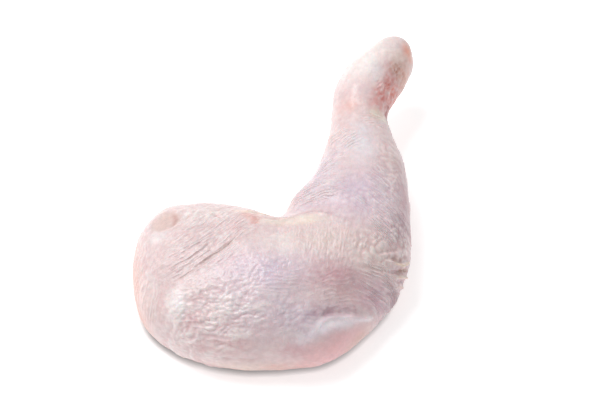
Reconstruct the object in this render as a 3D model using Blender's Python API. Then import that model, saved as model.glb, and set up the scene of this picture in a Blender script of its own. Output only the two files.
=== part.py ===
"""A raw, skin-on chicken leg, thigh and drumstick in one piece, lying skin side up.

The leg is one solid, lofted through ribs. A rib is an upright cross-section of the limb. It runs from the
inner side of the bent leg, where the thigh and the drumstick meet in a crease, to its outer side, where the
knee is. The larger folds and hollows of the skin are then pressed into the loft, and the underside is
pressed flat on the table. X runs from the hip to the knee, and Y from the thigh to the ankle. The ribs and
folds are laid out in millimetres, and the finished leg is centred over the origin, in metres.
"""

from dataclasses import dataclass
from math import cos, exp, pi, sin

import bmesh
import bpy
from mathutils import Vector, noise
from mathutils.geometry import intersect_point_line

MM = 0.001

LEG = "chicken_leg"

# Driving dimensions, in millimetres
THIGH_HEIGHT = 41.0
CALF_HEIGHT = 39.0
ANKLE_HEIGHT = 44.0
ANKLE_LIFT = 14.0
PRESSED = 3.5  # how far the soft underside would sink into the table
ROLLED = 2.0  # what is this near the table, above or below it, rolls smoothly onto it
UNEVENNESS = 0.7
UNEVEN_PATCH = 22.0  # the width of one swell of that unevenness
OVERHANG = 0.35  # how far, by a normal's fall, a fold still reaches round an overhanging side

RINGS = 90
TOP_POINTS = 34
BASE_POINTS = 18
FINE_POINTS = 120  # points from which an arc's evenly spaced ones are read

SKIN_COLOUR = (0.80, 0.62, 0.60, 1.0)
SKIN_ROUGHNESS = 0.42


@dataclass(frozen=True)
class Rib:
    """One upright cross-section: its two ends in plan, and its floor, waist and crown heights, in mm.

    A fullness of 2 makes an elliptic top or base, and more gives it squarer shoulders.
    """

    inner: tuple
    outer: tuple
    floor: float
    waist: float
    crown: float
    top_fullness: float = 2.1
    base_fullness: float = 2.6

    def numbers(self):
        heights = (self.floor, self.waist, self.crown)
        return (*self.inner, *self.outer, *heights, self.top_fullness, self.base_fullness)

    def turned_back(self):
        """The rib past a rounded end, where the outline has turned back."""
        shape = (self.crown, self.waist, self.floor, self.top_fullness, self.base_fullness)
        return Rib(self.outer, self.inner, *shape)


def tip(x, y, waist):
    """A rounded end, where the rib has shrunk to a point."""
    return Rib((x, y), (x, y), waist, waist, waist, 2.0, 2.2)


RIBS = (
    tip(-61.3, -6, 13),
    Rib((-59, 17.5), (-55, -27), -1, 12, 27),
    Rib((-50, 32), (-40.5, -40.5), -PRESSED, 12, 35),
    Rib((-30, 35), (-20.5, -47.5), -PRESSED, 12, 39),
    Rib((-12, 31.5), (2, -49), -PRESSED, 12, THIGH_HEIGHT),
    Rib((-1, 27.5), (22, -46.5), -PRESSED, 12, THIGH_HEIGHT),
    Rib((4.5, 28.5), (39.5, -35.5), -PRESSED, 12, 40),
    Rib((6.2, 30), (53.3, -19), -PRESSED, 13, 39),
    Rib((7.6, 32.5), (61.8, -2.5), -PRESSED, 15, CALF_HEIGHT),
    Rib((10.8, 37), (64, 15), -PRESSED, 17, CALF_HEIGHT),
    Rib((19, 46.5), (64, 35), -1, 19, CALF_HEIGHT),
    Rib((24, 60), (62.5, 54), 3, 22, CALF_HEIGHT),
    Rib((27.5, 73), (57, 71), 8, 23, 38, 2.0, 2.0),
    Rib((29, 84), (55.3, 82), 12, 25, 39, 2.0, 2.0),
    Rib((30.3, 95), (58.5, 91), 12, 27, 42, 2.0, 2.0),
    Rib((36, 108), (64, 101), 13, 29, ANKLE_HEIGHT, 2.0, 2.0),
    Rib((46, 118), (68.2, 110), ANKLE_LIFT, 29.5, 43.5, 2.0, 2.0),
    Rib((55, 123), (68.5, 117), 17.5, 30, 41, 2.0, 2.0),
    tip(63.5, 124.5, 30),
)


@dataclass(frozen=True)
class Fold:
    """A soft line pressed into the skin from above, or a ridge where its height is above 0, in mm."""

    path: tuple
    width: float
    height: float

    def press(self, plan):
        """How far this fold lifts the skin over a place in plan."""
        nearest = min(self.distance(plan, a, b) for a, b in zip(self.path, self.path[1:]))
        return self.height * exp(-((nearest / self.width) ** 2))

    @staticmethod
    def distance(plan, start, end):
        foot, share = intersect_point_line(plan, start, end)
        share = min(1.0, max(0.0, share))
        return (plan - Vector(start).lerp(Vector(end), share)).length


FOLDS = (
    Fold(((14, -29), (32, -30), (45, -22)), 9.0, -4.0),  # the hollow in front of the knee
    Fold(((20, -42), (36, -37), (50, -24)), 6.0, 1.2),  # the smooth roll of skin before it
    Fold(((-20, -4), (-45, -21)), 5.5, -1.2),  # the long crease across the hip
    Fold(((-14, 2), (-44, -11)), 6.0, 0.8),
    Fold(((2, 23), (14, 21), (28, 18.5)), 5.0, -2.0),  # where the thigh overlaps the calf
    Fold(((0, 15.5), (28, 13)), 6.0, 1.0),
    Fold(((54, -5), (68, -7)), 5.0, -1.4),  # the folds at the side of the knee
    Fold(((54, 5), (68, 4)), 5.0, 0.7),
)


def clear_scene():
    for old in list(bpy.data.objects):
        bpy.data.objects.remove(old, do_unlink=True)


def knots_of(ribs):
    """How far along the limb each rib is, by the mean length of its inner and outer sides."""
    knots = [0.0]
    for last, here in zip(ribs, ribs[1:]):
        inner = (Vector(here.inner) - Vector(last.inner)).length
        outer = (Vector(here.outer) - Vector(last.outer)).length
        knots.append(knots[-1] + (inner + outer) / 2)
    return knots


def blended_rib(ribs, knots, place):
    """The rib at any place along the limb, on a smooth curve through the named ones."""
    rows = [rib.numbers() for rib in (ribs[1].turned_back(), *ribs, ribs[-2].turned_back())]
    places = [-knots[1], *knots, 2 * knots[-1] - knots[-2]]
    i = 1
    while i < len(knots) - 1 and place > places[i + 1]:
        i += 1
    span = places[i + 1] - places[i]
    u = (place - places[i]) / span
    values = []
    for before, here, after, beyond in zip(*rows[i - 1 : i + 3]):
        leaving = (after - before) / (places[i + 1] - places[i - 1]) * span
        arriving = (beyond - here) / (places[i + 2] - places[i]) * span
        values.append(
            here * (2 * u**3 - 3 * u**2 + 1)
            + leaving * (u**3 - 2 * u**2 + u)
            + after * (3 * u**2 - 2 * u**3)
            + arriving * (u**3 - u**2)
        )
    return Rib(tuple(values[0:2]), tuple(values[2:4]), *values[4:])


def arc_points(rib, rise, fullness, way, count):
    """Evenly spaced points of a rib's top or base, leaving out the last; way is 1 from outer to inner."""
    inner, outer = Vector(rib.inner), Vector(rib.outer)
    centre, half = (inner + outer) / 2, (outer - inner) / 2 * way
    fine = []
    for i in range(FINE_POINTS + 1):
        angle = pi * i / FINE_POINTS
        side = 1 if angle < pi / 2 else -1
        plan = centre + half * side * abs(cos(angle)) ** (2 / fullness)
        height = rib.waist + rise * abs(sin(angle)) ** (2 / fullness)
        fine.append(Vector((plan.x, plan.y, height)))
    run = [0.0]
    for a, b in zip(fine, fine[1:]):
        run.append(run[-1] + (b - a).length)
    points = []
    i = 0
    for k in range(count):
        wanted = run[-1] * k / count
        while run[i + 1] < wanted:
            i += 1
        points.append(fine[i].lerp(fine[i + 1], (wanted - run[i]) / (run[i + 1] - run[i])))
    return points


def section_points(rib):
    """The outline of one rib, from its outer side over the crown to its inner side and back below."""
    over = arc_points(rib, rib.crown - rib.waist, rib.top_fullness, 1, TOP_POINTS)
    under = arc_points(rib, rib.floor - rib.waist, rib.base_fullness, -1, BASE_POINTS)
    return over + under


def loft(shape, ribs):
    """Grows a closed skin over the ribs, ring by ring, in mm."""
    knots = knots_of(ribs)
    segments = TOP_POINTS + BASE_POINTS
    ring = bmesh.ops.create_circle(shape, segments=segments, radius=1)["verts"]
    edges = list(shape.edges)
    for i in range(1, RINGS + 1):
        if i > 1:
            grown = bmesh.ops.extrude_edge_only(shape, edges=edges)["geom"]
            ring = [g for g in grown if isinstance(g, bmesh.types.BMVert)]
            edges = [g for g in grown if isinstance(g, bmesh.types.BMEdge)]
        rib = blended_rib(ribs, knots, knots[-1] * i / (RINGS + 1))
        for vert, place in zip(ring, section_points(rib)):
            vert.co = place
    bmesh.ops.holes_fill(shape, edges=shape.edges, sides=segments)
    bmesh.ops.recalc_face_normals(shape, faces=shape.faces)


def press_folds(shape):
    """Moves the skin in and out along its normals: the folds on top, and a slight unevenness all over."""
    shape.normal_update()
    for vert in shape.verts:
        plan = Vector((vert.co.x, vert.co.y))
        facing_up = max(0.0, vert.normal.z + OVERHANG) / (1 + OVERHANG)
        pressed = sum(fold.press(plan) for fold in FOLDS) * min(1.0, 2 * facing_up)
        uneven = UNEVENNESS * noise.noise(vert.co / UNEVEN_PATCH)
        vert.co += vert.normal * (pressed + uneven)


def pressed_height(height):
    """Flat on the table where the skin would be well below it, and rolling up from it beside that."""
    if height >= ROLLED:
        return height
    return max(0.0, height + ROLLED) ** 2 / (4 * ROLLED)


def rest_on_table(shape):
    """Presses the underside flat on the table, and centres the leg over the origin, in metres."""
    for vert in shape.verts:
        vert.co.z = pressed_height(vert.co.z)
    xs = [vert.co.x for vert in shape.verts]
    ys = [vert.co.y for vert in shape.verts]
    middle = Vector(((min(xs) + max(xs)) / 2, (min(ys) + max(ys)) / 2, 0))
    for vert in shape.verts:
        vert.co = (vert.co - middle) * MM


def skin_material():
    material = bpy.data.materials.new("raw_chicken_skin")
    material.use_nodes = True
    shader = material.node_tree.nodes["Principled BSDF"]
    shader.inputs["Base Color"].default_value = SKIN_COLOUR
    shader.inputs["Roughness"].default_value = SKIN_ROUGHNESS
    shader.inputs["Metallic"].default_value = 0.0
    return material


def main():
    clear_scene()
    shape = bmesh.new()
    loft(shape, RIBS)
    press_folds(shape)
    rest_on_table(shape)
    mesh = bpy.data.meshes.new(LEG)
    shape.to_mesh(mesh)
    shape.free()
    mesh.shade_smooth()
    mesh.materials.append(skin_material())
    leg = bpy.data.objects.new(LEG, mesh)
    bpy.context.collection.objects.link(leg)


main()
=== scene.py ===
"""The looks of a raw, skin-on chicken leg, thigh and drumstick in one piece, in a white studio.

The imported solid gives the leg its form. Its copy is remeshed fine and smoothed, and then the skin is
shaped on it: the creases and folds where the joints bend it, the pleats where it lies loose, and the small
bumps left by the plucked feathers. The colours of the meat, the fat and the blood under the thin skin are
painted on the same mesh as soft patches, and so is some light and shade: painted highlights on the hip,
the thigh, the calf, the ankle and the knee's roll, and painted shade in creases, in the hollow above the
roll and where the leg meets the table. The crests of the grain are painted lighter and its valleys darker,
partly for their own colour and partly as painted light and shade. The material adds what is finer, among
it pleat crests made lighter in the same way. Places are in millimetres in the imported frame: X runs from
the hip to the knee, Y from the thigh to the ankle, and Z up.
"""

import logging
from dataclasses import dataclass, field
from enum import Enum
from math import cos, pi, radians, sin
from typing import Any, Iterable

import bmesh
import bpy
import numpy as np
from mathutils import Euler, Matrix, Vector, noise


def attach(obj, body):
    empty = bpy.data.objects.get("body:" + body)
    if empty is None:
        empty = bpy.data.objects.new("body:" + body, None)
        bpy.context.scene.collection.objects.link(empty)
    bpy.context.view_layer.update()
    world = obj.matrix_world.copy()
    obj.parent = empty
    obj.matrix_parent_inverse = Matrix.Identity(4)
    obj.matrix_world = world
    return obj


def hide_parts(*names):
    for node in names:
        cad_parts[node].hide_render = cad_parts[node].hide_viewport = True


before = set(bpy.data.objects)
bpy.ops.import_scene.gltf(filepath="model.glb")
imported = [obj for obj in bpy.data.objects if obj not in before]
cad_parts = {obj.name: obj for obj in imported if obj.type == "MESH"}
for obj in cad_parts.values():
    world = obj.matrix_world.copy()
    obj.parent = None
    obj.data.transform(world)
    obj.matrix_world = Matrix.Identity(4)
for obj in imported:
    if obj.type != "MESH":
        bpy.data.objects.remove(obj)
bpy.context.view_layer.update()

MM = 0.001
NODE = "chicken_leg"
COLOUR_LAYER = "skin_colour"
PHASE_LAYER = "pleat_phase"
PLEAT_LAYER = "pleat_share"
WET_LAYER = "skin_wet"
WHITE = "ffffff"
NOISE_ENDS = (0.3, 0.7)  # what a noise node mostly gives, at least and at most

FAR = 200.0  # a reach that leaves out nothing of the leg along that axis, in mm
FAINT = 0.01  # where a patch's share is smaller than this, nothing is worked out for it

# The grain: radii in spacings, and heights where 1 is a texture's own height
PEBBLE_RADIUS = 0.7
PEBBLE_GAP = -0.6  # the height of the skin between the pebbles
PIT_RADII = (0.15, 0.45)  # of a pit's floor and of its rim
PIT_FLOOR = -1.0
GRAIN_RANGE = 1.6  # from the lowest skin to the highest, of pebbles and of pits

# The lines
LINE_END = 0.25  # the share of a line's height that is left at its ends
LINE_TAPER = 8.0  # at 8, a line stands at its full height from a seventh of its length

# The pleats
NARROW = 1.2  # how much narrower a pleat's crest is than the valley beside it
WANDERING = 3.0  # how many neighbouring pleats wander together
BREAKING = 1.3  # how many neighbouring pleats end together
BROKEN = (-0.55, 0.3)  # the noise at which a pleat has ended, and the noise at which it is whole
BREAK_SEED = 9.7  # sets the ends of the pleats of one spacing apart from those of another

log = logging.getLogger("chicken_leg_scene")

Point = tuple[float, float, float]
Array = np.ndarray
Tree = bpy.types.NodeTree
Socket = bpy.types.NodeSocket


def linear(hex_colour: str) -> tuple[float, float, float, float]:
    """Turns an sRGB hex colour into linear red, green, blue and alpha.

    Args:
        hex_colour: six hex digits, such as "e8d4d2".

    Returns:
        The colour as Blender's sockets take it.
    """
    parts = (int(hex_colour[i : i + 2], 16) / 255 for i in (0, 2, 4))
    values = (c / 12.92 if c <= 0.04045 else ((c + 0.055) / 1.055) ** 2.4 for c in parts)
    return (*values, 1.0)


def add_node(tree: Tree, kind: str, settings: dict[str, Any], links: dict[str | int, Any]) -> Any:
    """Adds one shader node with its settings, its fixed inputs and its links.

    Args:
        tree: the node tree that the node goes in.
        kind: the node's type, such as "ShaderNodeBump".
        settings: the node's own properties by name.
        links: for each input, by name or number, either an output to link or a fixed value.

    Returns:
        The new node.
    """
    node = tree.nodes.new(kind)
    for name, value in settings.items():
        setattr(node, name, value)
    for key, value in links.items():
        if isinstance(value, Socket):
            tree.links.new(value, node.inputs[key])
        else:
            node.inputs[key].default_value = value
    return node


def calculated(tree: Tree, operation: str, *values: Any) -> Socket:
    """Adds one sum to a node tree.

    Args:
        tree: the node tree.
        operation: what is worked out, such as "MULTIPLY".
        values: what it is worked out from, in order: outputs to link or fixed values.

    Returns:
        The output that holds the result.
    """
    return add_node(tree, "ShaderNodeMath", {"operation": operation}, dict(enumerate(values))).outputs[0]


def layer_node(tree: Tree, name: str) -> bpy.types.Node:
    """Adds the node that reads the mesh's layer of that name."""
    return add_node(tree, "ShaderNodeAttribute", {"attribute_name": name}, {})


def eased(low: float, high: float, values: Array) -> Array:
    """Rises smoothly from 0 at low to 1 at high.

    Args:
        low: where the rise starts.
        high: where it ends.
        values: the values to ease.

    Returns:
        A share from 0 to 1 for each value.
    """
    share = np.clip((values - low) / (high - low), 0.0, 1.0)
    return share * share * (3.0 - 2.0 * share)


def turned(x: Array, y: Array, degrees: float) -> tuple[Array, Array]:
    """How far each point lies along and across a line that is turned so far from X."""
    turn = radians(degrees)
    return x * cos(turn) + y * sin(turn), y * cos(turn) - x * sin(turn)


def perlin(places: Array) -> Array:
    """Smooth noise of about -1 to 1 at each place, one unit to a swell."""
    return np.array([noise.noise(place) for place in places.tolist()])


def cell_distance(places: Array) -> Array:
    """How far each place is from the nearest of scattered points, about one unit apart."""
    return np.array([noise.voronoi(place)[0][0] for place in places.tolist()])


@dataclass(frozen=True)
class TwoSwells:
    """Smooth noise of two sizes.

    Attributes:
        broad: the height of the broad one, which has one unit to a swell.
        fine: the height of the fine one.
        finer: how many times finer that one is.
        apart: how far from the broad one it is read, so that the two don't line up.
    """

    broad: float
    fine: float
    finer: float
    apart: float

    def at(self, places: Array) -> Array:
        """The height of both together at each place."""
        return self.broad * perlin(places) + self.fine * perlin(self.finer * places + self.apart)


WRINKLE_SWELLS = TwoSwells(broad=1.3, fine=0.6, finer=2.1, apart=11.0)
CLOUD_SWELLS = TwoSwells(broad=1.0, fine=0.5, finer=2.3, apart=31.0)


class Grain(Enum):
    """How the skin is textured in one place."""

    PEBBLES = "rounded bumps round the feather follicles"
    WRINKLES = "soft parallel folds of loose skin"
    PITS = "small holes where the scaly skin of the foot began"


@dataclass(frozen=True)
class Patch:
    """A soft oval part of the skin.

    Attributes:
        centre: its middle on the skin, in mm.
        reach: its half lengths along its own X and Y and along Z, in mm.
        turn: how far its own X is turned from the leg's, in degrees.
        soft: the share of the reach over which it fades.
    """

    centre: Point
    reach: Point
    turn: float = 0.0
    soft: float = 0.7

    def share(self, places: Array) -> Array:
        """How much of each place belongs to the patch.

        Args:
            places: points on the skin, in mm.

        Returns:
            A share from 0 to 1 for each place.
        """
        x, y, z = (places - np.array(self.centre)).T
        along, across = turned(x, y, self.turn)
        long, wide, high = self.reach
        distance = np.sqrt((along / long) ** 2 + (across / wide) ** 2 + (z / high) ** 2)
        return 1.0 - eased(1.0 - self.soft, 1.0, distance)


@dataclass(frozen=True)
class Texture:
    """One kind of grain over one part of the skin.

    Attributes:
        patch: where it is.
        grain: its kind.
        heading: the way that its folds run in plan, in degrees from X.
        spacing: from one bump or fold to the next, in mm.
        stretch: how many times longer than wide a bump or fold is.
        height: how far it stands up, in mm.
    """

    patch: Patch
    grain: Grain
    heading: float
    spacing: float
    stretch: float
    height: float

    def relief(self, places: Array) -> Array:
        """The texture's own form at each place, whatever its patch.

        Args:
            places: points on the skin, in mm.

        Returns:
            For each place a height of about -1 to 1, in shares of the texture's.
        """
        x, y, z = places.T / self.spacing
        along, across = turned(x, y, self.heading)
        if self.grain is Grain.WRINKLES:
            return WRINKLE_SWELLS.at(np.stack((along / self.stretch, across, z / self.stretch), 1))
        distance = cell_distance(np.stack((along / self.stretch, across, z), 1))
        if self.grain is Grain.PITS:
            return PIT_FLOOR + GRAIN_RANGE * eased(*PIT_RADII, distance)
        return GRAIN_RANGE * np.maximum(0.0, 1.0 - (distance / PEBBLE_RADIUS) ** 2) + PEBBLE_GAP


@dataclass(frozen=True)
class Line:
    """A soft line along the skin.

    Attributes:
        path: the points that it runs through, in mm.
        width: how wide it is to either side, in mm.
    """

    path: tuple[Point, ...]
    width: float

    def share(self, places: Array, shift: Point = (0.0, 0.0, 0.0)) -> Array:
        """How near each place is to the line.

        Args:
            places: points on the skin, in mm.
            shift: how far the line is moved first, in mm.

        Returns:
            For each place a share from 0 far away to 1 on the line, tapered towards both of its ends.
        """
        corners = [np.array(point) + np.array(shift) for point in self.path]
        lengths = [np.linalg.norm(end - start) for start, end in zip(corners, corners[1:])]
        nearest = np.full(len(places), np.inf)
        run = np.zeros(len(places))
        done = 0.0
        for start, end, length in zip(corners, corners[1:], lengths):
            share = np.clip((places - start) @ (end - start) / length**2, 0.0, 1.0)
            distance = np.linalg.norm(places - start - share[:, None] * (end - start), axis=1)
            closer = distance < nearest
            nearest = np.where(closer, distance, nearest)
            run = np.where(closer, done + share * length, run)
            done += length
        taper = np.clip(LINE_TAPER * run / done * (1.0 - run / done), 0.0, 1.0)
        return np.exp(-((nearest / self.width) ** 2)) * (LINE_END + (1.0 - LINE_END) * taper)


@dataclass(frozen=True)
class Crease(Line):
    """A line pressed into the skin, or raised from it where its height is above 0.

    Attributes:
        height: how far it moves the skin along its normal, in mm.
        lip: the way from the line to the fold or groove beside it, in mm.
        lip_height: how far that one stands up, in mm.
    """

    height: float
    lip: Point = (0.0, 0.0, 0.0)
    lip_height: float = 0.0

    def relief(self, places: Array) -> Array:
        """How far the line and its lip move each place, in mm."""
        return self.height * self.share(places) + self.lip_height * self.share(places, self.lip)


@dataclass(frozen=True)
class Swell:
    """A part of the skin that stands higher or lower than the form, or is smoother than the rest.

    Attributes:
        patch: where it is.
        height: how far it moves the skin along its normal, in mm.
        calm: the share of the grain that it takes away, from 0 to 1.
    """

    patch: Patch
    height: float
    calm: float


@dataclass(frozen=True)
class Pleats:
    """Fine parallel pleats, which the mesh raises and the material sharpens.

    Attributes:
        patch: where they are.
        heading: the way that they run in plan at the middle of the patch, in degrees from X.
        spacing: from one pleat to the next, in mm.
        height: how far they stand up, in mm.
        run: how long one pleat is before it fades out, in mm.
        bend: the radius of their curve to the left, in mm, or 0 where they run straight.
        wander: how far they stray from their course, in spacings.
    """

    patch: Patch
    heading: float
    spacing: float
    height: float
    run: float = 8.0
    bend: float = 0.0
    wander: float = 0.9

    def course(self, places: Array) -> tuple[Array, Array]:
        """Where each place lies in the row of pleats.

        Args:
            places: points on the skin, in mm.

        Returns:
            How far along and how far across the pleats each place is, in mm.
        """
        x, y, _ = (places - np.array(self.patch.centre)).T
        along, across = turned(x, y, self.heading)
        if self.bend == 0.0:
            return along, across
        from_middle = np.hypot(along, self.bend - across)
        return np.arctan2(along, self.bend - across) * self.bend, self.bend - from_middle

    def uneven(self, along: Array, across: Array, width: float, seed: float) -> Array:
        """Smooth noise that is stretched along the pleats.

        Args:
            along: how far along the pleats each place is, in mm.
            across: how far across them it is, in mm.
            width: how many pleats one swell of the noise is wide.
            seed: which of the noises it is.

        Returns:
            A value of about -1 to 1 for each place.
        """
        seeds = np.full(len(along), seed)
        return perlin(np.stack((along / self.run, across / (width * self.spacing), seeds), 1))

    def phase(self, places: Array) -> Array:
        """How far each place is through the row of pleats.

        Args:
            places: points on the skin, in mm.

        Returns:
            Angles in radians, which grow by a full turn from each pleat to the next.
        """
        along, across = self.course(places)
        strayed = self.uneven(along, across, WANDERING, self.heading)
        return 2.0 * pi * (across / self.spacing + self.wander * strayed)

    def share(self, places: Array) -> Array:
        """How fully the pleats stand up at each place.

        Args:
            places: points on the skin, in mm.

        Returns:
            The patch's share, from 0 to 1, broken up so that each pleat starts and ends.
        """
        along, across = self.course(places)
        whole = self.uneven(along, across, BREAKING, self.spacing * BREAK_SEED)
        return self.patch.share(places) * eased(*BROKEN, whole)

    def relief(self, places: Array) -> Array:
        """The pleats' height at each place, from 0 to 1, narrow at the crest and wide in the valley."""
        return self.share(places) * np.exp(NARROW * (np.sin(self.phase(places)) - 1.0))


@dataclass(frozen=True)
class Tint:
    """A colour painted on one part of the skin: mostly one that shows through it, in some places painted
    light and shade.

    Attributes:
        area: where it is.
        colour: its sRGB hex colour.
        strength: how much of it covers what is below, at most.
        clouding: how unevenly it lies, from 0 to 1.
        blotch: how wide that unevenness is, in mm.
    """

    area: Patch | Line
    colour: str
    strength: float
    clouding: float = 0.4
    blotch: float = 7.0

    def share(self, places: Array) -> Array:
        """How much of the tint covers each place.

        Args:
            places: points on the skin, in mm.

        Returns:
            A share from 0 to 1 for each place.
        """
        share = self.strength * self.area.share(places)
        near = share > FAINT
        share[near] *= 1.0 + self.clouding * CLOUD_SWELLS.at(places[near] / self.blotch)
        return np.clip(share, 0.0, 1.0)


@dataclass(frozen=True)
class Region:
    """One part of the leg, with all that its skin shows.

    Attributes:
        name: what the part is.
        textures: the grains of its skin.
        creases: its creases, folds and rims.
        swells: its higher, lower and smoother parts.
        pleats: its finest folds.
        tints: the colours under its skin, and the light and shade painted on it.
    """

    name: str
    textures: tuple[Texture, ...] = ()
    creases: tuple[Crease, ...] = ()
    swells: tuple[Swell, ...] = ()
    pleats: tuple[Pleats, ...] = ()
    tints: tuple[Tint, ...] = ()


HIP = Region(
    "hip",
    textures=(
        Texture(Patch((-34, -36, 38), (32, 24, FAR), 42), Grain.PEBBLES, 42, 1.7, 1.6, 0.22),
        Texture(Patch((-34, -19, 34), (24, 12, FAR), 8), Grain.PEBBLES, 70, 2.2, 1.3, 0.36),
    ),
    creases=(
        Crease(
            ((-45.5, -57.5, 32.2), (-32.2, -48.3, 37), (-21.4, -40.3, 39.6), (-16, -36.3, 40.2)),
            0.75, 0.55, (0.6, -1.2, 0.0), -0.3,
        ),
        Crease(
            ((-35.9, -53.7, 35.6), (-26.8, -50.1, 38.1), (-17.8, -45.2, 40.2)),
            0.9, 0.2, (0.6, -1.4, 0.0), -0.2,
        ),
        Crease(((-56.1, -51.8, 27.8), (-48, -50.2, 33.8)), 0.9, -0.5, (-0.5, 1.6, 0.3), 0.45),
        Crease(((-41, -47.5, 35.5), (-31, -40.5, 38), (-22, -33, 39)), 0.8, 0.3, (0.7, -1.3, 0.0), -0.2),
        Crease(((-14, -18.5, 33), (-8, -19, 32), (-2, -20.5, 33)), 0.9, 0.6, (0.0, -2.0, 0.6), -0.5),
    ),
    swells=(
        Swell(Patch((-50, -23.3, 32.6), (8.0, 7.5, FAR), 10, 0.3), -0.5, 0.85),
        Swell(Patch((-11.5, -24.5, 36.5), (5.0, 4.0, FAR), -20, 0.8), 0.6, 0.4),
        Swell(Patch((-62, -46, 12), (12, 44, 24), 8), 0.0, 0.3),
    ),
    pleats=(
        Pleats(Patch((-29, -38, 38), (31, 18, FAR), 42), 42, 1.9, 0.23, 13.0, 60.0, 0.6),
        Pleats(Patch((-31, -36, 38), (34, 23, FAR), 42), 38, 1.25, 0.28, 7.0, 70.0, 0.8),
        Pleats(Patch((-57, -46, 20), (13, 40, 20), 8), 78, 1.5, 0.26, 5.0),
    ),
    tints=(
        Tint(Patch((-33, -38, 38), (30, 20, FAR), 42, 1.0), "dac6c7", 0.75),
        Tint(Patch((-35, -20, 34), (25, 12, FAR), 8, 1.0), "f3ebe8", 0.5),
        Tint(Patch((-64, -42, 12), (10, 48, 24), 10, 1.0), "efc1b3", 0.75),
        Tint(Patch((-62, -56, 8), (9, 26, 11), 15, 1.0), "de9c8b", 0.5),
        Tint(Patch((-50, -23.3, 32.6), (8.6, 8.0, FAR), 10, 0.4), "dbc3bd", 0.85, 0.1),
        Tint(
            Line(((-46.8, -19, 32.8), (-45.2, -23.5, 34.3), (-46.4, -28.5, 34.8)), 1.2),
            "bd918c", 0.5, 0.1,
        ),
        # Painted highlight: a whitish wet glint on the upper left of the hip.
        Tint(Patch((-54, -33, 31), (8, 5, FAR), -20, 1.0), "fbf7f6", 0.6),
        Tint(Patch((-18, -30, 38), (5, 8, FAR), -20, 1.0), "dcb3b3", 0.4),
        Tint(Patch((-12, -23, 36), (8, 5, FAR), -25, 1.0), "dda59b", 0.75),
        Tint(Patch((-10, -27.5, 38), (3.2, 3.4, FAR), 0), "d6938a", 0.5),
        Tint(Patch((-10, -18.5, 32), (14, 3.5, FAR), -5), "f2dfce", 0.65),
        Tint(Patch((-36, -48, 36), (14, 8, FAR), 42, 1.0), "dbc6c6", 0.5),
        # Painted shade: a darker line along the groove below the main crease.
        Tint(
            Line(((-45, -58.5, 32.2), (-31.7, -49.4, 37), (-20.9, -41.4, 39.6), (-17, -38.5, 40.2)), 0.7),
            "b69c90", 0.5, 0.1,
        ),
    ),
)

THIGH = Region(
    "thigh",
    textures=(
        Texture(Patch((-27, -72, 30), (36, 19, FAR), -3), Grain.PEBBLES, -2, 1.65, 1.5, 0.32),
        Texture(Patch((-24, -74, 30), (42, 20, FAR), -3), Grain.WRINKLES, 4, 3.6, 3.0, 0.32),
        Texture(Patch((12, -73, 31), (26, 15, FAR), 0), Grain.PEBBLES, 20, 2.2, 1.3, 0.2),
        Texture(Patch((-14, -55, 38), (38, 14, FAR), 12), Grain.PEBBLES, 25, 1.6, 1.3, 0.17),
        Texture(Patch((-46, -64, 28), (11, 12, FAR), 0), Grain.PEBBLES, 80, 2.3, 1.8, 0.16),
    ),
    creases=(
        Crease(
            ((-44.6, -72.4, 22.3), (-35.2, -75.4, 26), (-26.4, -74.4, 30)),
            1.1, -0.5, (0.0, 2.2, 0.6), 0.35,
        ),
        Crease(
            ((-34.1, -80.7, 17), (-24.3, -82.5, 21.8), (-15.3, -83.9, 22.6)),
            0.9, -0.45, (0.0, 2.0, 1.5), 0.4,
        ),
        Crease(((-33, -84, 12), (-24.4, -85, 16), (-8, -86.5, 17)), 0.9, -0.3, (0.0, 1.8, 2.0), 0.35),
    ),
    swells=(
        Swell(Patch((-43.1, -66.5, 29), (6, 7, FAR), 0), 0.5, 0.2),
        Swell(Patch((-56, -62, 14), (9, 18, 16), 40), 0.0, 0.7),
        Swell(Patch((-10, -88, 8), (50, 6, 14), 0), 0.0, 0.6),
    ),
    pleats=(
        Pleats(Patch((-24, -74, 30), (40, 20, FAR), 0), 2, 2.0, 0.08, 4.5),
        Pleats(Patch((-32, -79, 20), (22, 9, FAR), -8), -8, 1.9, 0.32, 7.0, 0.0, 0.7),
        Pleats(Patch((4, -60, 37), (20, 10, FAR), 0), 4, 1.6, 0.14, 8.0),
        Pleats(Patch((-10, -86, 14), (44, 8, 12), 0), 2, 1.5, 0.14, 9.0),
    ),
    tints=(
        Tint(Patch((-6, -56, 40), (36, 20, FAR), 6, 1.0), "dbccda", 0.75),
        Tint(Patch((2, -74, 31), (44, 15, FAR), 0, 1.0), "d8ccd4", 0.7),
        Tint(Patch((-28, -70, 30), (34, 18, FAR), 0, 1.0), "efe6e7", 0.4),
        # Painted highlight: a bright white spot on the lower left of the thigh.
        Tint(Patch((-43, -67, 29), (8, 9, FAR), 0, 1.0), "fbf6f6", 0.75),
        Tint(Patch((-34, -74, 24), (13, 4, FAR), 5, 1.0), "d3abae", 0.4),
        Tint(Patch((-22, -83, 19), (16, 4, FAR), -4, 1.0), "d5a7a9", 0.5),
        Tint(Patch((-52, -62, 18), (10, 16, 16), 30), "e2cbc9", 0.5),
        Tint(Patch((-14, -88, 8), (36, 7, 9), 0), "ecd8ce", 0.65),
        Tint(Patch((10, -87, 9), (24, 5, 9), 0), "d8a29c", 0.5),
        Tint(Patch((9, -84, 20), (14, 5, 10), 0, 1.0), "dfb6bb", 0.6),
        Tint(Patch((2, -42, 40), (18, 12, FAR), 0, 1.0), "f3e9e6", 0.6),
        Tint(Patch((-55, -58, 24), (8, 12, 16), 10, 1.0), "f2e2e0", 0.5),
    ),
)

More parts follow.
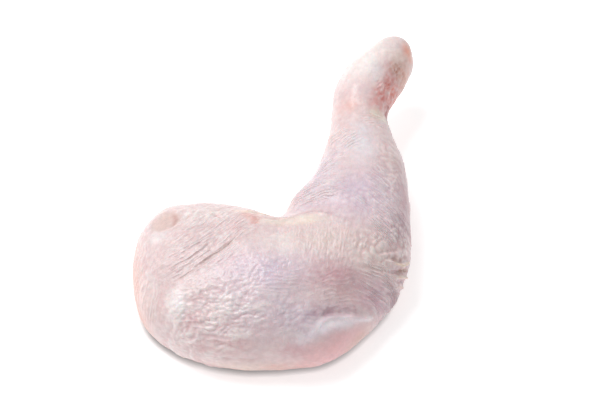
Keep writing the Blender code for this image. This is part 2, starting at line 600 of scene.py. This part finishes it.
KNEE = Region(
    "knee",
    textures=(
        Texture(Patch((20, -42, 40), (22, 17, FAR), 0), Grain.PEBBLES, 84, 1.6, 1.9, 0.18),
        Texture(Patch((41, -40, 35), (15, 15, FAR), 10, 1.0), Grain.PEBBLES, 98, 2.2, 1.4, 0.42),
        Texture(Patch((54, -32, 27), (7, 18, FAR), 0), Grain.PEBBLES, -38, 2.1, 2.4, 0.42),
        Texture(Patch((42, -56, 25), (20, 11, FAR), 0), Grain.WRINKLES, -3, 2.6, 4.0, 0.3),
    ),
    creases=(
        Crease(
            ((48.5, -42.8, 29), (52.5, -42.4, 25.5), (55.6, -40.4, 22.5), (58.8, -36.4, 19.5)),
            0.7, 1.9,
        ),
        Crease(
            ((38, -48.5, 32.5), (46, -47.5, 28), (52, -45.4, 24), (56, -42.2, 20), (58.8, -38.3, 15.5)),
            0.9, -1.5,
        ),
        Crease(
            ((45, -50.5, 26.5), (54.1, -45, 20), (58.2, -40.2, 13)),
            0.7, 1.7, (-0.2, -1.6, -1.4), -1.1,
        ),
        Crease(((45, -42.5, 32.5), (51, -39, 29), (57.5, -34.5, 23)), 0.8, 0.6, (0.2, 1.6, 0.2), -0.5),
        Crease(((46, -54, 23), (52.6, -48.6, 17.5), (56.5, -43, 9)), 0.8, 1.1, (0.2, -1.6, -1.2), -0.8),
        Crease(
            ((18, -77.8, 28.6), (20, -75, 29), (22.8, -72.6, 28.5), (31, -70, 24.6), (41.5, -65.3, 17.5)),
            1.2, 0.8, (-0.2, 2.0, 0.7), -0.55,
        ),
        Crease(((12, -84, 22.5), (15, -81.4, 26), (18, -77.5, 28.6)), 2.2, 0.35),
        Crease(((14, -76, 30), (19, -71.4, 30.5), (26, -67.8, 28)), 2.8, -0.4),
    ),
    swells=(
        Swell(Patch((28, -78, 18), (26, 10, 16), 25), 0.3, 0.94),
        Swell(Patch((24, -75.5, 26), (14, 4.5, FAR), 31), 0.0, 0.9),
    ),
    pleats=(
        Pleats(Patch((18, -36, 40), (24, 16, FAR), 0), 87, 1.3, 0.12, 3.5, 0.0, 0.6),
        Pleats(Patch((26, -42, 39), (22, 16, FAR), 0), 82, 1.8, 0.12, 3.5, 0.0, 0.8),
        Pleats(Patch((51, -27, 32), (12, 16, FAR), -40), -42, 1.4, 0.85, 8.0, 0.0, 0.6),
        Pleats(Patch((47, -54, 24), (15, 13, FAR), 0), -4, 1.35, 0.75, 6.0),
        Pleats(Patch((28, -60, 34), (14, 12, FAR), 0), 20, 1.5, 0.15, 4.5),
    ),
    tints=(
        Tint(Patch((20, -38, 40), (22, 14, FAR), 0, 1.0), "e9dad2", 0.4),
        Tint(Patch((28, -56, 36), (22, 12, FAR), 0, 1.0), "cba4ab", 0.75),
        Tint(Patch((12, -74, 31), (22, 10, FAR), 8, 1.0), "c8bac5", 0.65),
        # Painted shade in the hollow above the roll: a broad grey violet, and a darker line at its foot.
        Tint(
            Line(((13, -74, 31.4), (22.6, -70.0, 29.4), (30, -67.5, 26.6), (37, -64.5, 21)), 3.4),
            "b594a0", 0.5, 0.25,
        ),
        Tint(
            Line(((19.5, -73.4, 30), (23, -70.8, 29), (28, -69.2, 26.5), (35, -66.5, 22)), 0.9),
            "84606e", 0.14, 0.1,
        ),
        Tint(Patch((41, -43, 34), (15, 12, FAR), 10, 1.0), "e4d5cf", 0.55),
        Tint(Patch((53, -25, 32), (8, 15, FAR), -20, 1.0), "cdb2be", 0.6),
        Tint(Patch((57, -46, 16), (13, 22, 22), -10, 1.0), "cba9b5", 0.5),
        Tint(Patch((44, -58, 20), (14, 10, FAR), 20, 1.0), "d4b7c3", 0.6),
        # Painted shade in the gap between two of the knee's side folds.
        Tint(Line(((50, -41.3, 29), (54.5, -39.2, 25), (58.2, -35.6, 21.5)), 0.9), "b18f84", 0.5, 0.1),
        Tint(Line(((51, -42.6, 27), (55.6, -40.4, 22.5), (58.8, -36.4, 19.5)), 0.8), "f3e4d2", 0.95, 0.1),
        Tint(Line(((49.5, -48.2, 23.5), (54.1, -45, 20), (58.2, -40.2, 13)), 0.8), "f0dfce", 0.9, 0.1),
        Tint(Line(((50, -51, 20), (54.5, -47, 15), (57, -43, 9)), 0.9), "e9d6cb", 0.7, 0.1),
        # Painted shade in the gap between two of the knee's side folds.
        Tint(Line(((53.5, -43.2, 22), (56.4, -41, 19), (59, -38, 15)), 1.0), "a5805f", 0.6, 0.1),
        Tint(Patch((29, -80, 14), (29, 12, 18), 25), "eabfc1", 0.9, 0.12),
        # Painted highlight: the flat facet of the roll, which catches the key light, whitened along its
        # left side and its top edge.
        Tint(Line(((8, -83, 24), (14, -80.5, 26.5), (21, -76.5, 27.5)), 2.6), "eadfe6", 0.7, 0.2),
        Tint(
            Line(((17, -78.6, 27.4), (22, -75.4, 27.5), (28, -72.8, 25), (34, -70, 22)), 2.7),
            "f5ecf1", 1.0, 0.1,
        ),
        Tint(Line(((28, -72, 25.2), (36, -68.6, 21), (43, -64.6, 16)), 1.2), "f3e7ec", 1.0, 0.1),
        Tint(Patch((51, -55, 12), (8, 14, 12), 20, 1.0), "a98b98", 0.55),
        Tint(Patch((37, -73, 10), (13, 6, 9), 35), "d2b5a6", 0.4, 0.2),
    ),
)

CREASE_OF_THE_KNEE = Region(
    "inner crease",
    creases=(
        Crease(
            (
                (-4, -28, 37.4), (2.6, -26.4, 37), (6.1, -23.6, 36.1), (11, -22.4, 36.4),
                (16.1, -22.6, 37.6), (24, -25, 39.4),
            ),
            1.1, 0.7, (0.1, 2.2, -0.8), -1.0,
        ),
    ),
    tints=(
        Tint(Patch((8, -27, 37.5), (22, 5, FAR), 0), "f3e6da", 0.7),
        Tint(
            Line(((4, -20.5, 33), (11, -19.6, 34), (19, -21, 36.8), (26, -23.4, 39)), 1.2),
            "c3a0a4", 0.55, 0.2,
        ),
        Tint(Patch((14, -16, 32), (14, 4, FAR), 0, 1.0), "d3c3cf", 0.5),
    ),
)

DRUMSTICK = Region(
    "drumstick",
    textures=(
        Texture(Patch((16, -2, 32), (14, 20, FAR), 25), Grain.WRINKLES, 8, 2.8, 4.0, 0.26),
        Texture(Patch((50, 2, 30), (9, 30, FAR), 0), Grain.PEBBLES, -30, 2.1, 1.6, 0.28),
        Texture(Patch((40, -15, 37), (18, 10, FAR), 0), Grain.PEBBLES, -10, 2.2, 1.6, 0.22),
    ),
    swells=(Swell(Patch((38, 12, 38), (8, 18, FAR), 0), 0.0, 0.8),),
    pleats=(
        Pleats(Patch((18, -7, 34), (17, 12, FAR), 0), 4, 1.5, 0.6, 5.0, 0.0, 0.6),
        Pleats(Patch((24, 9, 35), (11, 11, FAR), 20), 18, 1.6, 0.62, 5.0, 0.0, 0.6),
        Pleats(Patch((30, 22, 35), (9, 12, FAR), 40), 34, 1.7, 0.6, 5.0, 0.0, 0.6),
        Pleats(Patch((48, -8, 35), (11, 24, FAR), 0), -34, 1.5, 0.3, 6.0),
        Pleats(Patch((42, -20, 37), (14, 8, FAR), -30), -36, 1.3, 0.28, 8.0),
        Pleats(Patch((45, 33, 37), (9, 6, FAR), 0), 3, 1.5, 0.3, 5.0),
    ),
    tints=(
        Tint(Patch((37, -12, 38), (28, 24, FAR), 20, 1.0), "d5c4d2", 0.85, 0.2),
        # Partly painted sheen: the calf's middle lightened where the moist skin shines, over its own pale
        # colour.
        Tint(Patch((39, 17, 38), (11, 20, FAR), 0, 1.0), "e8e2e7", 0.85),
        Tint(Patch((19, 3, 33), (12, 28, 24), -30), "ded1d9", 0.7),
        Tint(Patch((58, -5, 22), (8, 34, 24), 0), "c4a5ad", 0.5),
        Tint(Patch((63, 4, 14), (6, 44, 20), 0, 1.0), "cf9488", 0.55),
    ),
)

ANKLE = Region(
    "ankle",
    textures=(
        Texture(Patch((57, 63, 36.5), (6.5, 4.5, FAR), 0), Grain.PITS, 78, 1.4, 2.4, 0.22),
        Texture(Patch((51, 52, 34), (10, 9, FAR), 0), Grain.WRINKLES, 50, 2.2, 2.5, 0.3),
        Texture(Patch((46, 57, 41), (9, 11, FAR), 0), Grain.PEBBLES, 0, 3.0, 1.0, 0.24),
    ),
    creases=(Crease(((54.5, 48.5, 26), (52.4, 45, 28.5), (50.4, 41, 31)), 1.1, -0.8),),
    swells=(Swell(Patch((40, 66, 38), (14, 24, FAR), 0), 0.0, 0.7),),
    pleats=(Pleats(Patch((52.5, 51, 32), (8, 9, FAR), 0), 52, 1.4, 0.34, 4.0),),
    tints=(
        # Partly painted light: the ankle's top whitened as if the key light blew it out, over its own pale
        # skin.
        Tint(Patch((41, 70, 36), (25, 30, FAR), 0, 1.0), "f8efec", 1.0, 0.15),
        Tint(Patch((53, 58, 38), (11, 15, FAR), 0, 0.9), "e3c9cb", 0.75, 0.8, 2.0),
        Tint(Patch((41, 50, 40), (12, 10, FAR), 0, 1.0), "e9d2d4", 0.6, 0.6, 2.4),
        Tint(Patch((47, 43, 35), (8, 7, FAR), 20, 1.0), "dfa19c", 0.65, 1.0, 2.0),
        Tint(Patch((33.5, 42, 37.8), (10, 8, FAR), 0, 1.0), "ebc8c3", 0.75),
        Tint(Patch((46.7, 37, 36), (7, 5, FAR), 0), "ead9ca", 0.7),
        Tint(Patch((46.3, 59.6, 41.7), (5, 7, FAR), 0, 1.0), "dcd8dc", 0.4),
        Tint(Patch((57, 68, 38), (7, 7, FAR), 0, 1.0), "e3cfc3", 0.55),
        Tint(Patch((62, 74, 38), (5.5, 8, 12), 10, 1.0), "f4b9a8", 0.85),
        Tint(Patch((57, 62.5, 37), (8.5, 6.5, FAR), 10, 1.0), "c8988a", 0.85, 0.9, 1.5),
        Tint(Patch((60.5, 64, 32), (6, 14, 13), 0, 1.0), "e2b5a8", 0.65, 0.6, 2.5),
        Tint(Patch((54, 54, 32.5), (8, 9, FAR), -15, 1.0), "d98e83", 0.8, 0.9, 1.5),
        Tint(Patch((50, 49, 34), (9, 7, FAR), 30, 1.0), "dc9691", 0.8, 1.0, 2.0),
        # A dark red notch: partly its own red, partly painted shade in the groove that it lies in.
        Tint(
            Line(((53, 49.5, 27.5), (51.6, 45.5, 29), (51.2, 41.5, 28.6), (51, 37, 29.5)), 1.7),
            "a5403e", 0.9, 0.1,
        ),
    ),
)

# Painted shade where the leg meets the table, with some of the raw underside's own red.
RED_AND_SHADE_AT_TABLE = Region(
    "where the leg meets the table",
    tints=(
        # Partly the underside's own red, partly painted shade towards the table.
        Tint(Patch((0, 0, 0), (FAR, FAR, 12.0), 0, 0.6), "b8705f", 0.4, 0.2),
        # Painted shade: the dark foot of the leg where it meets the table.
        Tint(Patch((0, 0, 0), (FAR, FAR, 2.8), 0, 0.8), "70483e", 0.8, 0.3),
    ),
)

ALL_OVER = Texture(Patch((0, 0, 20), (FAR, FAR, FAR)), Grain.PEBBLES, 0, 2.6, 1.2, 0.16)

REGIONS = (HIP, THIGH, KNEE, CREASE_OF_THE_KNEE, DRUMSTICK, ANKLE, RED_AND_SHADE_AT_TABLE)


def pleat_sets() -> list[Pleats]:
    """Every set of pleats; its number in this list ends the names of its two mesh layers."""
    return [pleats for region in REGIONS for pleats in region.pleats]


@dataclass(frozen=True)
class RawSkin:
    """Raw poultry skin, plucked and chilled: thin, moist and translucent over pink meat and white fat.

    The eye sees a pale pink that light goes into and comes out of redder, and a satin film of moisture
    whose highlights break up on the bumps. The crests of the grain and of the pleats are painted lighter
    and the valleys darker, partly for their own colour and partly as painted light and shade.

    Attributes:
        bare: the colour of the skin where nothing tints it.
        crest: the creamy white of the bumps, where fat lies under the skin, also a painted highlight on
            them.
        crest_share: how much of it covers the highest bumps.
        valley: the pink between them, also a painted shade there.
        valley_share: how much of it deepens the lowest places.
        valley_gain: how much that pink is lightened first.
        full_grain: the height of the grain that is coloured as the highest or the lowest, in mm.
        mottle: the width of the blotches that the material adds, in mm.
        mottle_detail: how often they break into finer ones, half as wide each time.
        mottle_light: how light the darkest and the lightest of them are.
        saturation: how much stronger than painted the colours are.
        full_pleat: the height of a pleat whose crest is stretched fully pale, in mm.
        pale: how much of the saturation such a crest loses.
        lit: how much lighter such a crest is, partly its own paler colour, partly a painted highlight.
        sharpening: the share of a pleat's height that the material adds to the mesh's.
        grain: the width of the bumps that the material adds, in mm, about as fine as the picture shows.
        grain_detail: how often they break into finer ones, half as wide each time.
        grain_height: how high they stand, in mm.
        roughness: where the skin is driest and where it is wettest.
        wet_patch: the width of one wet patch, in mm.
        wet_contrast: how much wetness changes from patch to patch.
        translucency: the share of the light that goes under the skin.
        depth: how far it travels there, in mm.
        reach: how far its red, green and blue travel, in shares of that depth.
        ior: the refractive index of the moist skin.
        film: how much the film of moisture shines.
        film_roughness: the roughness of that film.
    """

    bare: str = "e4d0d0"
    crest: str = "f6eeeb"
    crest_share: float = 0.45
    valley: str = "ccabaf"
    valley_share: float = 0.32
    valley_gain: float = 1.3
    full_grain: float = 0.35
    mottle: float = 2.4
    mottle_detail: float = 4.0
    mottle_light: tuple[float, float] = (0.92, 1.04)
    saturation: float = 1.14
    full_pleat: float = 0.4
    pale: float = 0.35
    lit: float = 0.15
    sharpening: float = 0.6
    grain: float = 0.9
    grain_detail: float = 3.0
    grain_height: float = 0.28
    roughness: tuple[float, float] = (0.53, 0.31)
    wet_patch: float = 11.0
    wet_contrast: float = 0.6
    translucency: float = 0.3
    depth: float = 1.2
    reach: tuple[float, float, float] = (1.0, 0.45, 0.35)
    ior: float = 1.4
    film: float = 0.3
    film_roughness: float = 0.18

    def material(self) -> bpy.types.Material:
        """Makes the node material.

        Returns:
            The material, which reads the mesh's colour, pleat and wetness layers.
        """
        # Raw poultry skin, moist and translucent
        made = bpy.data.materials.new("raw_poultry_skin")
        made.use_nodes = True
        tree = made.node_tree
        shader = tree.nodes["Principled BSDF"]
        place = add_node(tree, "ShaderNodeTexCoord", {}, {}).outputs["Object"]
        height, pleated = self.relief(tree, place)
        bump = add_node(tree, "ShaderNodeBump", {}, {"Height": height, "Strength": 1.0, "Distance": 1.0})
        tree.links.new(bump.outputs["Normal"], shader.inputs["Normal"])
        tree.links.new(self.colour(tree, place, pleated), shader.inputs["Base Color"])
        dry, wet = self.roughness
        wetness = {"Value": layer_node(tree, WET_LAYER).outputs["Fac"], "To Min": dry, "To Max": wet}
        roughness = add_node(tree, "ShaderNodeMapRange", {}, wetness)
        tree.links.new(roughness.outputs["Result"], shader.inputs["Roughness"])
        shader.inputs["IOR"].default_value = self.ior
        shader.inputs["Subsurface Weight"].default_value = self.translucency
        shader.inputs["Subsurface Radius"].default_value = self.reach
        shader.inputs["Subsurface Scale"].default_value = self.depth * MM
        shader.inputs["Coat Weight"].default_value = self.film
        shader.inputs["Coat Roughness"].default_value = self.film_roughness
        return made

    def colour(self, tree: Tree, place: Socket, pleated: Socket) -> Socket:
        """Blotches the painted colour finely, and whitens the crests of the pleats, partly as a painted
        highlight.

        Args:
            tree: the material's node tree.
            place: the output that holds the place on the leg.
            pleated: the output that says how high the place stands in the pleats.

        Returns:
            The output that holds the colour.
        """
        painted = layer_node(tree, COLOUR_LAYER).outputs["Color"]
        blotches = {"Vector": place, "Scale": 1.0 / (self.mottle * MM), "Detail": self.mottle_detail}
        blotched = add_node(tree, "ShaderNodeTexNoise", {}, blotches).outputs["Fac"]
        ends = zip(("From Min", "From Max", "To Min", "To Max"), (*NOISE_ENDS, *self.mottle_light))
        mottled = add_node(tree, "ShaderNodeMapRange", {}, {"Value": blotched, **dict(ends)})
        # The pleats' crests made lighter and paler: partly their own colour, partly a painted highlight.
        light = calculated(tree, "MULTIPLY_ADD", pleated, self.lit, mottled.outputs["Result"])
        saturation = calculated(tree, "MULTIPLY_ADD", pleated, -self.pale, self.saturation)
        tone = {"Saturation": saturation, "Value": light, "Color": painted}
        return add_node(tree, "ShaderNodeHueSaturation", {}, tone).outputs["Color"]

    def relief(self, tree: Tree, place: Socket) -> tuple[Socket, Socket]:
        """Makes the finest relief: a fine grain all over, and every set of pleats from the mesh's layers.

        Args:
            tree: the material's node tree.
            place: the output that holds the place on the leg.

        Returns:
            The outputs that hold the height, in metres, and how high the place stands in the pleats.
        """
        bumps = {"Vector": place, "Scale": 1.0 / (self.grain * MM), "Detail": self.grain_detail}
        fine = add_node(tree, "ShaderNodeTexNoise", {}, bumps).outputs["Fac"]
        height = calculated(tree, "MULTIPLY", fine, self.grain_height * MM)
        pleated = 0.0
        for number, pleats in enumerate(pleat_sets()):
            phase = layer_node(tree, f"{PHASE_LAYER}_{number}").outputs["Fac"]
            share = layer_node(tree, f"{PLEAT_LAYER}_{number}").outputs["Fac"]
            wave = calculated(tree, "SINE", phase)
            crest = calculated(tree, "EXPONENT", calculated(tree, "MULTIPLY_ADD", wave, NARROW, -NARROW))
            shown = calculated(tree, "MULTIPLY", crest, share)
            height = calculated(tree, "MULTIPLY_ADD", shown, self.sharpening * pleats.height * MM, height)
            # How far a pleat's crest is paled and lightened, partly as a painted highlight.
            paleness_and_highlight = min(1.0, pleats.height / self.full_pleat)
            pleated = calculated(tree, "MULTIPLY_ADD", shown, paleness_and_highlight, pleated)
        return height, pleated

    def painted(self, places: Array, crest: Array, tints: list[Tint]) -> Array:
        """The colour of the skin at each place, with its painted light and shade.

        Args:
            places: points on the skin, in mm.
            crest: how high each place stands in the grain, from -1 to 1.
            tints: the colours that show through it and the light and shade painted on it, the lowest
                first.

        Returns:
            Linear red, green, blue and alpha for each place.
        """
        colour = np.tile(np.array(linear(self.bare)), (len(places), 1))
        for tint in tints:
            share = tint.share(places)[:, None]
            colour = colour * (1.0 - share) + share * np.array(linear(tint.colour))
        # Crests painted lighter and valleys darker: partly the fat's and the pink's own colour, partly
        # painted highlight and shade.
        up = self.crest_share * np.clip(crest, 0.0, 1.0)[:, None]
        down = self.valley_share * np.clip(-crest, 0.0, 1.0)[:, None]
        colour = colour * (1.0 - up) + up * np.array(linear(self.crest))
        return colour * (1.0 - down) + down * colour * np.array(linear(self.valley)) * self.valley_gain

    def wetness(self, places: Array) -> Array:
        """How wet the skin is at each place, from 0 to 1."""
        return np.clip(0.5 + self.wet_contrast * perlin(places / self.wet_patch), 0.0, 1.0)


@dataclass
class ChickenLeg:
    """The leg itself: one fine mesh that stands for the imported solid.

    Attributes:
        weld: how near two points of the solid's mesh are that are one, in mm.
        voxel: the size of the remesh, in mm, which is halved where the skin shows most.
        passes: how often the remesh is smoothed.
        last_passes: how often it is smoothed again, where it is finer.
        evening: how far each of these moves a point towards the middle of its neighbours, from 0 to 1.
        busy: the share of a texture, of pleats or of a crease from which the mesh is halved.
        hidden: how far a normal points up where the mesh isn't halved, from -1 to 1, at most.
        lumps: the height of the broad unevenness of the flesh, in mm.
        lump_size: the width of one such swell, in mm.
        warp: how far the grains wander from straight lines, in mm.
        warp_size: the width of one such wandering, in mm.
        warp_seeds: where its noise is read for X, Y and Z, so that they wander apart.
        underside: how far normals point up where the skin begins to lie pressed, and where it fully does.
        pressed: the heights up to which it lies fully pressed, and at all, in mm.
        regions: the parts of the skin.
        skin: its finish.
    """

    weld: float = 0.001
    voxel: float = 1.04
    passes: int = 12
    last_passes: int = 4
    evening: float = 0.5
    busy: float = 0.2
    hidden: float = -0.15
    lumps: float = 0.5
    lump_size: float = 9.0
    warp: float = 2.2
    warp_size: float = 8.8
    warp_seeds: tuple[float, float, float] = (0.0, 17.3, 41.9)
    underside: tuple[float, float] = (-0.2, -0.8)
    pressed: tuple[float, float] = (1.0, 5.0)
    regions: tuple[Region, ...] = REGIONS
    skin: RawSkin = field(default_factory=RawSkin)

    def merged_copy(self) -> bpy.types.Object:
        """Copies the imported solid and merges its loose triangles.

        Returns:
            The copy, with a voxel remesh on it.
        """
        shape = bmesh.new()
        shape.from_mesh(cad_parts[NODE].data)
        bmesh.ops.remove_doubles(shape, verts=shape.verts, dist=self.weld * MM)
        mesh = bpy.data.meshes.new("leg_form")
        shape.to_mesh(mesh)
        shape.free()
        form = bpy.data.objects.new("leg_form", mesh)
        bpy.context.scene.collection.objects.link(form)
        remesh = form.modifiers.new("fine", "REMESH")
        remesh.mode = "VOXEL"
        remesh.voxel_size = self.voxel * MM
        return form

    def smooth_shape(self) -> bmesh.types.BMesh:
        """Remeshes the copy and smooths its facets away.

        Returns:
            The smooth form of the leg, in metres.
        """
        form = self.merged_copy()
        shape = bmesh.new()
        shape.from_object(form, bpy.context.evaluated_depsgraph_get())
        bpy.data.objects.remove(form, do_unlink=True)
        self.smooth(shape, self.passes)
        self.refine(shape)
        self.smooth(shape, self.last_passes)
        shape.normal_update()
        return shape

    def smooth(self, shape: bmesh.types.BMesh, passes: int) -> None:
        """Evens the mesh out.

        Args:
            shape: the mesh.
            passes: how often it is evened out.
        """
        axes = {"use_axis_x": True, "use_axis_y": True, "use_axis_z": True}
        for _ in range(passes):
            bmesh.ops.smooth_vert(shape, verts=shape.verts, factor=self.evening, **axes)

    def refine(self, shape: bmesh.types.BMesh) -> None:
        """Halves the mesh where pleats, grain and creases show from above or from the side.

        Args:
            shape: the mesh, in metres.
        """
        shape.normal_update()
        places = np.array([vert.co for vert in shape.verts]) / MM
        upward = np.array([vert.normal.z for vert in shape.verts])
        busy = np.zeros(len(places))
        for region in self.regions:
            for detail in (*region.textures, *region.pleats):
                busy = np.maximum(busy, detail.patch.share(places))
            for crease in region.creases:
                busy = np.maximum(busy, crease.share(places))
        fine = (busy > self.busy) & (upward > self.hidden)
        edges = [edge for edge in shape.edges if all(fine[vert.index] for vert in edge.verts)]
        bmesh.ops.subdivide_edges(shape, edges=edges, cuts=1, use_grid_fill=True)
        shape.verts.index_update()

    def textured(self, places: Array) -> Array:
        """The height of the skin's grain at each place.

        Args:
            places: points on the skin, in mm.

        Returns:
            Heights in mm.
        """
        slow = places / self.warp_size
        wander = np.stack([perlin(slow + seed) for seed in self.warp_seeds], 1) * self.warp
        bent = places + wander
        height = np.zeros(len(places))
        bare = np.ones(len(places))
        for region in self.regions:
            for texture in region.textures:
                share = texture.patch.share(places)
                near = share > FAINT
                height[near] += share[near] * texture.height * texture.relief(bent[near])
                bare *= 1.0 - share
        height += bare * ALL_OVER.height * ALL_OVER.relief(bent)
        for region in self.regions:
            for swell in region.swells:
                height *= 1.0 - swell.calm * swell.patch.share(places)
        return height

    def raised(self, places: Array) -> Array:
        """The height of all else that the skin shows: flesh, creases, swells and pleats.

        Args:
            places: points on the skin, in mm.

        Returns:
            Heights in mm.
        """
        height = self.lumps * perlin(places / self.lump_size)
        for region in self.regions:
            height += sum(crease.relief(places) for crease in region.creases)
            height += sum(swell.height * swell.patch.share(places) for swell in region.swells)
            height += sum(pleats.height * pleats.relief(places) for pleats in region.pleats)
        return height

    def build(self) -> bpy.types.Object:
        """Makes the finished leg.

        Returns:
            The leg's object, riding on the body and standing for the solid.
        """
        shape = self.smooth_shape()
        places = np.array([vert.co for vert in shape.verts]) / MM
        normals = np.array([vert.normal for vert in shape.verts])
        near_table = 1.0 - eased(*self.pressed, places[:, 2])
        free = 1.0 - eased(*self.underside, normals[:, 2]) * near_table
        grain = self.textured(places)
        moved = places + normals * (free * (grain + self.raised(places)))[:, None]
        moved[:, 2] = np.maximum(moved[:, 2], 0.0)
        for vert, place in zip(shape.verts, moved * MM):
            vert.co = place
        mesh = bpy.data.meshes.new("skin_of_leg")
        shape.to_mesh(mesh)
        shape.free()
        mesh.shade_smooth()
        self.dress(mesh, places, np.clip(grain / self.skin.full_grain, -1.0, 1.0) * free)
        leg = bpy.data.objects.new("raw_chicken_leg", mesh)
        bpy.context.scene.collection.objects.link(leg)
        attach(leg, "root")
        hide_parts(NODE)
        return leg

    def dress(self, mesh: bpy.types.Mesh, places: Array, crest: Array) -> None:
        """Paints the mesh's layers and gives it its skin.

        Args:
            mesh: the leg's mesh.
            places: its points before the relief, in mm.
            crest: how high each stands in the grain, from -1 to 1.
        """
        tints = [tint for region in self.regions for tint in region.tints]
        colours = mesh.color_attributes.new(COLOUR_LAYER, "FLOAT_COLOR", "POINT")
        painted = self.skin.painted(places, crest, tints)
        colours.data.foreach_set("color", painted.astype(np.float32).ravel())
        layers = {WET_LAYER: self.skin.wetness(places)}
        for number, pleats in enumerate(pleat_sets()):
            layers[f"{PHASE_LAYER}_{number}"] = pleats.phase(places)
            layers[f"{PLEAT_LAYER}_{number}"] = pleats.share(places)
        for name, values in layers.items():
            layer = mesh.attributes.new(name, "FLOAT", "POINT")
            layer.data.foreach_set("value", values.astype(np.float32))
        mesh.materials.append(self.skin.material())


@dataclass(frozen=True)
class WhiteAcrylic:
    """White acrylic, matt and lit from below, with a painted contact shadow: darker at the foot of what
    stands on it.

    Attributes:
        colour: its sRGB hex colour.
        roughness: of its surface.
        glow: the strength of its own light.
        contact: how near to what stands on it colour and glow are dimmed, as a painted contact shadow, in
            mm.
    """

    colour: str = "ebebeb"
    roughness: float = 0.7
    glow: float = 0.52
    contact: float = 4.0

    def material(self) -> bpy.types.Material:
        """Makes the node material.

        Returns:
            The material, for the table.
        """
        # White acrylic, matt, lit from below, with a painted contact shadow
        made = bpy.data.materials.new("white_acrylic")
        made.use_nodes = True
        tree = made.node_tree
        shader = tree.nodes["Principled BSDF"]
        shader.inputs["Roughness"].default_value = self.roughness
        shader.inputs["Emission Color"].default_value = linear(WHITE)
        near = {"Color": linear(self.colour), "Distance": self.contact * MM}
        # Painted contact shadow: the table's colour and glow dimmed near what stands on it.
        painted_contact_shadow = add_node(tree, "ShaderNodeAmbientOcclusion", {}, near)
        tree.links.new(painted_contact_shadow.outputs["Color"], shader.inputs["Base Color"])
        glow = calculated(tree, "MULTIPLY", painted_contact_shadow.outputs["AO"], self.glow)
        tree.links.new(glow, shader.inputs["Emission Strength"])
        return made


@dataclass(frozen=True)
class Studio:
    """A white light table, a soft key light from behind on the left, and the camera.

    Attributes:
        target: the point on the table that the camera looks at, in mm.
        elevation: how steeply it looks down, in degrees.
        distance: from the camera to the target, in mm.
        lens: its focal length, in mm on the usual sensor, 36 mm wide.
        floor_size: the side of the table, in mm.
        floor_drop: how far it lies below the leg, so that the two faces don't share a plane, in mm.
        floor: what the table is made of.
        sky: the strength of the white surroundings.
        key_place: where the key light hangs, in mm.
        key_size: its side, in mm.
        key_power: its power, in watts.
    """

    target: Point = (10.12, 9.18, 0.0)
    elevation: float = 52.0
    distance: float = 790.0
    lens: float = 100.0
    floor_size: float = 6000.0
    floor_drop: float = 0.1
    floor: WhiteAcrylic = WhiteAcrylic()
    sky: float = 0.48
    key_place: Point = (-400.0, 250.0, 920.0)
    key_size: float = 560.0
    key_power: float = 7.2

    def lay_floor(self) -> bpy.types.Object:
        """Makes the table.

        Returns:
            The floor's object.
        """
        shape = bmesh.new()
        bmesh.ops.create_grid(shape, x_segments=1, y_segments=1, size=self.floor_size / 2 * MM)
        bmesh.ops.translate(shape, verts=shape.verts, vec=(0.0, 0.0, -self.floor_drop * MM))
        mesh = bpy.data.meshes.new("table_top")
        shape.to_mesh(mesh)
        shape.free()
        mesh.materials.append(self.floor.material())
        table = bpy.data.objects.new("table_top", mesh)
        bpy.context.scene.collection.objects.link(table)
        return table

    def light(self) -> None:
        """Hangs the key light and whitens the surroundings."""
        lamp = bpy.data.lights.new("key", "AREA")
        lamp.size = self.key_size * MM
        lamp.energy = self.key_power
        key = bpy.data.objects.new("key", lamp)
        key.location = Vector(self.key_place) * MM
        key.rotation_euler = (Vector(self.target) * MM - key.location).to_track_quat("-Z", "Y").to_euler()
        bpy.context.scene.collection.objects.link(key)
        world = bpy.data.worlds.new("white_room")
        world.use_nodes = True
        backdrop = world.node_tree.nodes["Background"]
        backdrop.inputs["Color"].default_value = linear(WHITE)
        backdrop.inputs["Strength"].default_value = self.sky
        bpy.context.scene.world = world
        bpy.context.scene.view_settings.view_transform = "Standard"

    def set_camera(self) -> bpy.types.Object:
        """Puts the camera at the photograph's angle.

        Returns:
            The camera's object.
        """
        data = bpy.data.cameras.new("camera")
        data.lens = self.lens
        camera = bpy.data.objects.new("camera", data)
        tilt = radians(self.elevation)
        away = Vector((0.0, -cos(tilt), sin(tilt))) * self.distance
        camera.location = (Vector(self.target) + away) * MM
        camera.rotation_euler = Euler((radians(90.0) - tilt, 0.0, 0.0))
        bpy.context.scene.collection.objects.link(camera)
        bpy.context.scene.camera = camera
        return camera


def main() -> None:
    """Builds the studio and the leg, and writes how large the leg came out."""
    logging.basicConfig(level=logging.INFO, format="%(message)s")
    studio = Studio()
    studio.set_camera()
    studio.light()
    floor = studio.lay_floor()
    log.info("%s: the table under the leg", floor.name)
    parts = ChickenLeg()
    log.info("the skin's parts: %s", ", ".join(region.name for region in parts.regions))
    leg = parts.build()
    log.info("%s: %d points, %d faces", leg.name, len(leg.data.vertices), len(leg.data.polygons))


if __name__ == "__main__":
    main()
